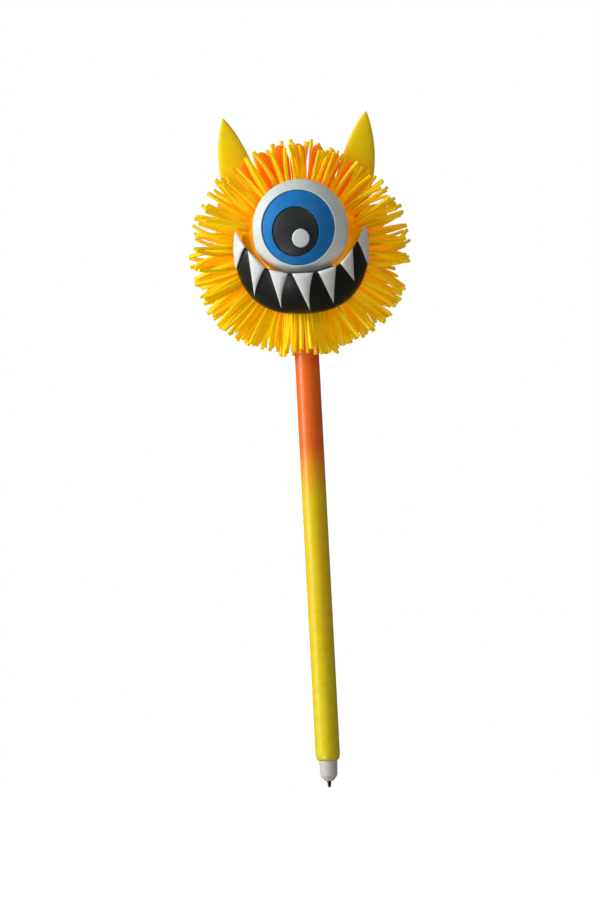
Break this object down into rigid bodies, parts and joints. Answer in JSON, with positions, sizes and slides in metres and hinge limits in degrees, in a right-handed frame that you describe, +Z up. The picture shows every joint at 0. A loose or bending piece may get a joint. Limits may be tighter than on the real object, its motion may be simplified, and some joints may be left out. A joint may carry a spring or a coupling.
{
  "type": "novelty ballpoint pen",
  "caption": "Novelty ballpoint pen with a soft one-eyed monster head: spiky rubber strands, two horns, a domed eye and a toothy grin on a slim tapered-nose barrel.",
  "frame": {"origin": "the writing point, at the lowest point of the writing ball", "axes": "+Z up the pen's axis towards the head, -Y towards the side the face looks at, +X to the right of a viewer who looks at the face"},
  "size_m": [0.0732, 0.061, 0.2212],
  "materials": {
    "barrel_gradient": "satin",
    "white_plastic": "satin",
    "refill_clear": "satin",
    "point_metal": "satin",
    "ink": "satin",
    "ball_steel": "polished",
    "skin_rubber": "satin",
    "foam": "matte",
    "strand_rubber": "satin",
    "horn_rubber": "satin",
    "crest_rubber": "satin",
    "eye_white": "satin",
    "iris_blue": "satin",
    "pupil_black": "satin",
    "glint_white": "satin",
    "mouth_black": "satin",
    "tooth_white": "satin"
  },
  "bodies": {
    "pen_body": {"barrel": "barrel_gradient", "neck_plug": "white_plastic"},
    "refill_unit": {"nose_cone": "white_plastic", "refill_tube": "refill_clear", "refill_point": "point_metal", "ink_column": "ink"},
    "point_ball": {"writing_ball": "ball_steel"},
    "monster_head": {"head_skin": "skin_rubber", "foam_ball": "foam", "tuft_front_left": "strand_rubber", "tuft_front_top": "strand_rubber", "tuft_front_right": "strand_rubber", "tuft_rim_left": "strand_rubber", "tuft_rim_right": "strand_rubber", "tuft_mid_1": "strand_rubber", "tuft_mid_2": "strand_rubber", "tuft_mid_3": "strand_rubber", "tuft_mid_4": "strand_rubber", "tuft_mid_5": "strand_rubber", "tuft_mid_6": "strand_rubber", "tuft_back_1": "strand_rubber", "tuft_back_2": "strand_rubber", "tuft_back_3": "strand_rubber", "tuft_back_4": "strand_rubber", "tuft_rear": "strand_rubber", "tuft_neck": "strand_rubber", "horn_left": "horn_rubber", "horn_right": "horn_rubber", "crest_petal_1": "crest_rubber", "crest_petal_2": "crest_rubber", "crest_petal_3": "crest_rubber", "crest_petal_4": "crest_rubber", "crest_petal_5": "crest_rubber", "crest_petal_6": "crest_rubber", "crest_petal_7": "crest_rubber", "eye_white": "eye_white", "iris": "iris_blue", "pupil": "pupil_black", "eye_glint": "glint_white", "mouth_base": "mouth_black", "fang_left": "tooth_white", "tooth_1": "tooth_white", "tooth_2": "tooth_white", "tooth_3": "tooth_white", "tooth_4": "tooth_white", "tooth_5": "tooth_white", "fang_right": "tooth_white"}
  },
  "joints": [
    {"name": "head_twist", "type": "hinge", "parent": "pen_body", "child": "monster_head", "pos_m": [0, 0, 0.1617], "axis": [0, 0, 1], "continuous": true},
    {"name": "nose_pull", "type": "slide", "parent": "pen_body", "child": "refill_unit", "axis": [0, 0, -1], "range_m": [0, 0.125]},
    {"name": "ball_roll", "type": "hinge", "parent": "refill_unit", "child": "point_ball", "pos_m": [0, 0, 0.0004], "axis": [1, 0, 0], "continuous": true}
  ]
}
